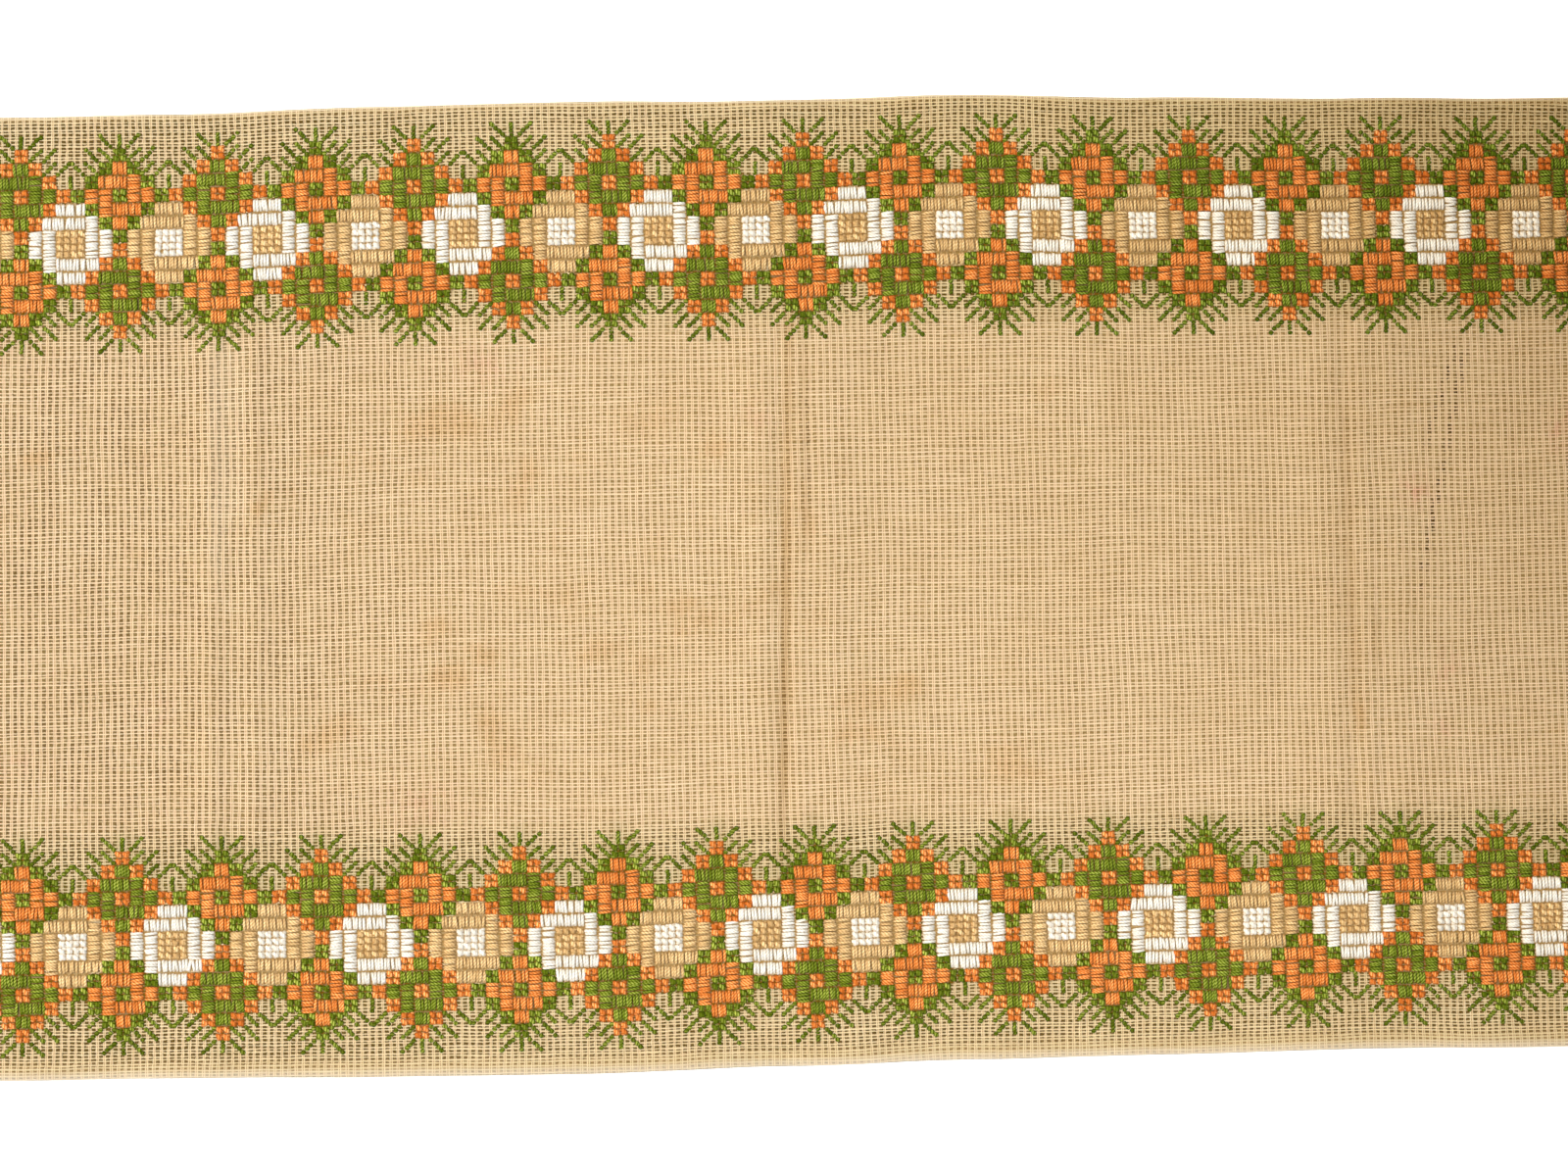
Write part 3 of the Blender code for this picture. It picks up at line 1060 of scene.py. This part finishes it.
def hole_tint(tree, cloth, masks):
    """The painted shade seen through the holes, which is paler where hairy yarn nearly fills them."""
    close = fade(tree, cloth["Slack"], *CLOSE_HOLES)
    right, left = (blended(tree, close, *tones) for tones in (HOLES_RIGHT, HOLES_LEFT))
    through = blended(tree, masks["left"], right, left)
    margin = blended(tree, masks["past hem"], HOLES_HEM, HOLES_MARGIN)
    through = blended(tree, masks["field"], margin, through)
    # Darker holes along the creases
    through = washed(tree, through, masks["crease_darkening"], HOLES_CREASE_DARKENING)
    through = blended(tree, masks["gaping"], through, HOLES_GAPING)
    # Painted shade in the holes along the creases
    return washed(tree, through, masks["crease_shade"], HOLES_CREASE_SHADE)


def marked(tree, threads, tint, masks):
    """Lay the marks of use over the cloth."""
    ragged = noise(tree, threads, *RAGGED_NOISE)
    uneven = times(tree, minus(tree, ragged, 0.5), RAGGED)
    brown = fade(tree, plus(tree, attribute(tree, "brown"), uneven), *BROWN_EDGE)
    tint = blended(tree, brown, tint, BROWN_MARK, way="MULTIPLY")
    pink = times(tree, attribute(tree, "pink"), fade(tree, ragged, *PINK_EDGE))
    tint = blended(tree, pink, tint, PINK_MARK, way="MULTIPLY")
    # Darker yarn along the creases
    tint = washed(tree, tint, masks["crease_darkening"], CREASE_DARKENING_YARN)
    # Painted light on the ridge of the left fold
    tint = washed(tree, tint, masks["lit_ridge"], PAINTED_RIDGE_LIGHT)
    # Painted shade on the yarn along the creases
    return blended(tree, masks["crease_shade"], tint, CREASE_SHADE_YARN, way="MULTIPLY")


def canvas_material():
    """Open canvas with paired threads, as worn and as uneven as the real one."""
    material = new_material("canvas")
    tree = material.node_tree
    threads = add(tree, "ShaderNodeUVMap", uv_map="threads")
    masks = canvas_masks(tree, threads)
    cloth = woven(tree, threads, masks)
    hairs = plus(tree, LEAST_HAIRS, times(tree, cloth["Fibres"], HAIRS), clamp=True)
    hole = times(tree, cloth["Hole"], maths(tree, "MAXIMUM", hairs, masks["gaping"]))
    tint = blended(tree, hole, yarn_tint(tree, threads, cloth, masks), hole_tint(tree, cloth, masks))
    # Stray fibres with painted shade between the rays
    tint = washed(tree, tint, masks["fans"], FIBRES_AND_SHADE_BETWEEN_RAYS)
    # Painted shade between the stitches, tinted with their colour
    tint = washed(tree, tint, masks["covered"], (STITCH_SHADE_SHARE, masks["between"]))
    tint = marked(tree, threads, tint, masks)
    corner_shade_tint = blended(tree, masks["field"], CORNER_SHADE_MARGIN, CORNER_SHADE_CANVAS)
    # Painted shade, growing towards the upper right corner
    tint = blended(tree, corner_shade_share(tree), tint, corner_shade_tint, way="MULTIPLY")
    # Pale fluff and painted sheen along the rim
    tint = washed(tree, tint, fade(tree, masks["to edge"], *RIM_EDGE), RIM_FLUFF_AND_SHEEN)
    relief = add(tree, "ShaderNodeBump", {"Height": cloth["Height"], "Strength": 0.7, "Distance": 0.0005})
    matt = {"Roughness": 0.88, "Specular IOR Level": 0.0}
    return finish_material(material, {"Base Color": tint, "Normal": relief, **matt})


canvas.data.materials.append(canvas_material())
print("canvas material made")

# %% [markdown]
# ## The embroidery thread
# The stitches are worked in a soft two-ply thread, nearly matt. Its twist shows as slanting highlights
# along each stitch, which are painted. One group makes the twist from the stitch's own UV map, paints
# shade on the sides where neighbouring stitches press together, on the ends where they dive and on
# stitches that lie under others, and varies the dye from stitch to stitch. Each colour then places that
# group with its own painted light, body and painted shadow tones.

# %% Group and materials for the thread
TWIST_SHIFT, TWIST_SLANT, TWIST_LENGTH = 17.0, 0.5, 0.5
PLY_EDGE, SIDE_EDGE = (0.08, 0.42), (0.57, 0.99)
DIVE_DARKENS = 0.85
LEAST_LIT, LIT_ON_PLY = 0.79, 0.21
LEAST_SHINE, SHINE_BY_SHADE = 0.3, 0.6
TONES = ("Light", "Body", "Shadow")


def thread_group():
    """Colour and height of a twisted thread, from its UV map and its shade, with painted shade and
    highlights.
    """
    numbers = dict.fromkeys(("Shade", "Dive", "Variety"), FLOAT)
    inputs = {"Stitch": VECTOR, **numbers, **dict.fromkeys(TONES, COLOUR)}
    group, given, result = new_group("twisted_thread", inputs, {"Color": COLOUR, "Height": FLOAT})
    along, aside = first_two(group, given["Stitch"])
    along = plus(group, along, times(group, given["Shade"], TWIST_SHIFT))
    slant = plus(group, times(group, aside, TWIST_SLANT), along)
    ply = fade(group, maths(group, "PINGPONG", slant, TWIST_LENGTH), *PLY_EDGE)
    # Painted shade on diving ends, on stitches under others and on the pressed sides; painted highlights on
    # the twist
    above = minus(group, 1.0, times(group, given["Dive"], DIVE_DARKENS))
    side = times(group, fade(group, maths(group, "ABSOLUTE", aside), *SIDE_EDGE), above)
    lit = times(group, side, plus(group, LEAST_LIT, times(group, ply, LIT_ON_PLY)))
    tint = blended(group, lit, given["Shadow"], given["Body"])
    crest = times(group, ply, side)
    shine = times(group, crest, plus(group, LEAST_SHINE, times(group, given["Shade"], SHINE_BY_SHADE)))
    tint = blended(group, shine, tint, given["Light"])
    own_tone = times(group, minus(group, given["Shade"], 0.5), given["Variety"])
    tint = blended(group, 1.0, tint, plus(group, 1.0, own_tone), way="MULTIPLY")
    feed(group, result, {"Color": tint, "Height": crest})
    return group


# Each colour's painted light, body and painted shadow tones, its tint of painted shade in the upper right
# corner, and how much it varies
THREADS = {
    "green": ((0.49, 0.52, 0.10), (0.163, 0.229, 0.005), (0.018, 0.021, 0.0003), (0.69, 0.75, 0.68), 0.30),
    "orange": ((1.0, 0.56, 0.21), (0.98, 0.247, 0.030), (0.20, 0.026, 0.001), (0.84, 0.77, 0.70), 0.22),
    "white": ((1.0, 0.98, 0.92), (0.99, 0.93, 0.83), (0.55, 0.41, 0.24), (0.97, 0.95, 0.90), 0.10),
    "tan": ((0.99, 0.79, 0.45), (0.875, 0.545, 0.225), (0.27, 0.112, 0.018), (0.82, 0.78, 0.70), 0.18),
}
twisted = thread_group()


def thread_material(name):
    """One colour of embroidery thread."""
    material = new_material(f"{name}_thread")
    tree = material.node_tree
    *tones, corner_shade_tint, variety = THREADS[name]
    inputs = {label: (*tone, 1) for label, tone in zip(TONES, tones)}
    inputs["Variety"] = variety
    inputs["Stitch"] = add(tree, "ShaderNodeUVMap", uv_map="stitch")
    inputs["Shade"], inputs["Dive"] = attribute(tree, "shade"), attribute(tree, "dive")
    thread = place_group(tree, twisted, inputs)
    # Painted shade, growing towards the upper right corner
    tint = blended(tree, corner_shade_share(tree), thread["Color"], (*corner_shade_tint, 1), way="MULTIPLY")
    relief = add(tree, "ShaderNodeBump", {"Height": thread["Height"], "Strength": 0.6, "Distance": 0.0002})
    matt = {"Roughness": 0.6, "Specular IOR Level": 0.01}
    return finish_material(material, {"Base Color": tint, "Normal": relief, **matt})


thread_materials = {name: thread_material(name) for name in THREADS}
for piece, colour in stitches:
    piece.data.materials.append(thread_materials[colour])
print("thread colours", list(thread_materials))

# %% [markdown]
# ## What each piece is
# The sheet stands for the solid, and the stitches are sewn to it. All of them belong to the one body.

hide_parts("runner_cloth")
for piece in [canvas] + [piece for piece, _ in stitches]:
    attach(piece, "root")

# %% [markdown]
# ## Floor, light and camera
# The runner was photographed from straight above on white. A plain pale floor stands in for that. One
# large soft light from the upper left shows the relief of the stitches, a wide one overhead fills the
# shadows, and the world is a pale even grey. The camera looks straight down from above a point a little
# left of the middle, and the runner rises by one degree to the right in its picture.

# %% Floor
FLOOR_SIZE = 6.0
FLOOR_BELOW = 0.0002
FLOOR_SURFACE = {
    "Base Color": (0.9, 0.9, 0.9, 1),
    "Roughness": 0.9,
    "Emission Color": (1, 1, 1, 1),
    "Emission Strength": 0.3,
}


def pale_floor():
    """A plain pale floor under the runner."""
    bm = bmesh.new()
    bmesh.ops.create_grid(bm, x_segments=1, y_segments=1, size=FLOOR_SIZE / 2)
    bmesh.ops.translate(bm, vec=(0, 0, -FLOOR_BELOW), verts=bm.verts)
    mesh = bpy.data.meshes.new("floor")
    bm.to_mesh(mesh)
    bm.free()
    mesh.materials.append(finish_material(new_material("pale_floor"), FLOOR_SURFACE))
    return new_piece("floor", mesh)


pale_floor()
print("floor", FLOOR_SIZE, "m wide")

# %% Lights and world


def new_light(name, kind, where, turn, **settings):
    """A light at a place, turned by angles about the three axes."""
    lamp = bpy.data.lights.new(name, kind)
    for key, value in settings.items():
        setattr(lamp, key, value)
    light = bpy.data.objects.new(name, lamp)
    light.location = where
    light.rotation_euler = [math.radians(angle) for angle in turn]
    bpy.context.scene.collection.objects.link(light)


window = {"energy": 2.36, "angle": math.radians(24), "color": (1.12, 1.0, 0.84)}
new_light("window", "SUN", (-2.0, 0.6, 2.0), (0, -47, -17), **window)
ceiling = {"energy": 2.75, "size": 1.2, "spread": math.radians(15), "color": (0.88, 1.0, 1.14)}
new_light("ceiling", "AREA", (-0.28, -0.2, 2.0), (0, 0, 17), **ceiling)
world = bpy.data.worlds.new("studio")
world.use_nodes = True
sky = {"Color": (1.0, 0.99, 0.97, 1), "Strength": 0.23}
feed(world.node_tree, world.node_tree.nodes["Background"], sky)
bpy.context.scene.world = world
bpy.context.scene.view_settings.view_transform = "Standard"
bpy.context.scene.view_settings.look = "None"
print("lights", len(bpy.data.lights))

# %% Camera
METRES_PER_PIXEL = 0.000357
PHOTO_WIDTH, PHOTO_HEIGHT = 1600, 1200
MIDDLE_PIXEL = (827.0, 595.7)
RISE_TO_RIGHT = math.radians(0.985)
LENS = 85.0
SENSOR = 36.0


def photo_camera():
    """A camera straight above, whose picture has the photograph's frame."""
    data = bpy.data.cameras.new("camera")
    data.lens = LENS
    data.sensor_width = SENSOR
    camera = bpy.data.objects.new("camera", data)
    right = PHOTO_WIDTH / 2 - MIDDLE_PIXEL[0]
    up = MIDDLE_PIXEL[1] - PHOTO_HEIGHT / 2
    turn = Matrix.Rotation(-RISE_TO_RIGHT, 4, "Z")
    offset = turn @ Matrix.Translation((right * METRES_PER_PIXEL, up * METRES_PER_PIXEL, 0))
    height = PHOTO_WIDTH * METRES_PER_PIXEL * LENS / SENSOR
    camera.location = (BOW + offset.translation.x, offset.translation.y, height)
    camera.rotation_euler = (0, 0, -RISE_TO_RIGHT)
    bpy.context.scene.collection.objects.link(camera)
    bpy.context.scene.camera = camera
    return camera


camera = photo_camera()
print("camera height", round(camera.location.z, 3))
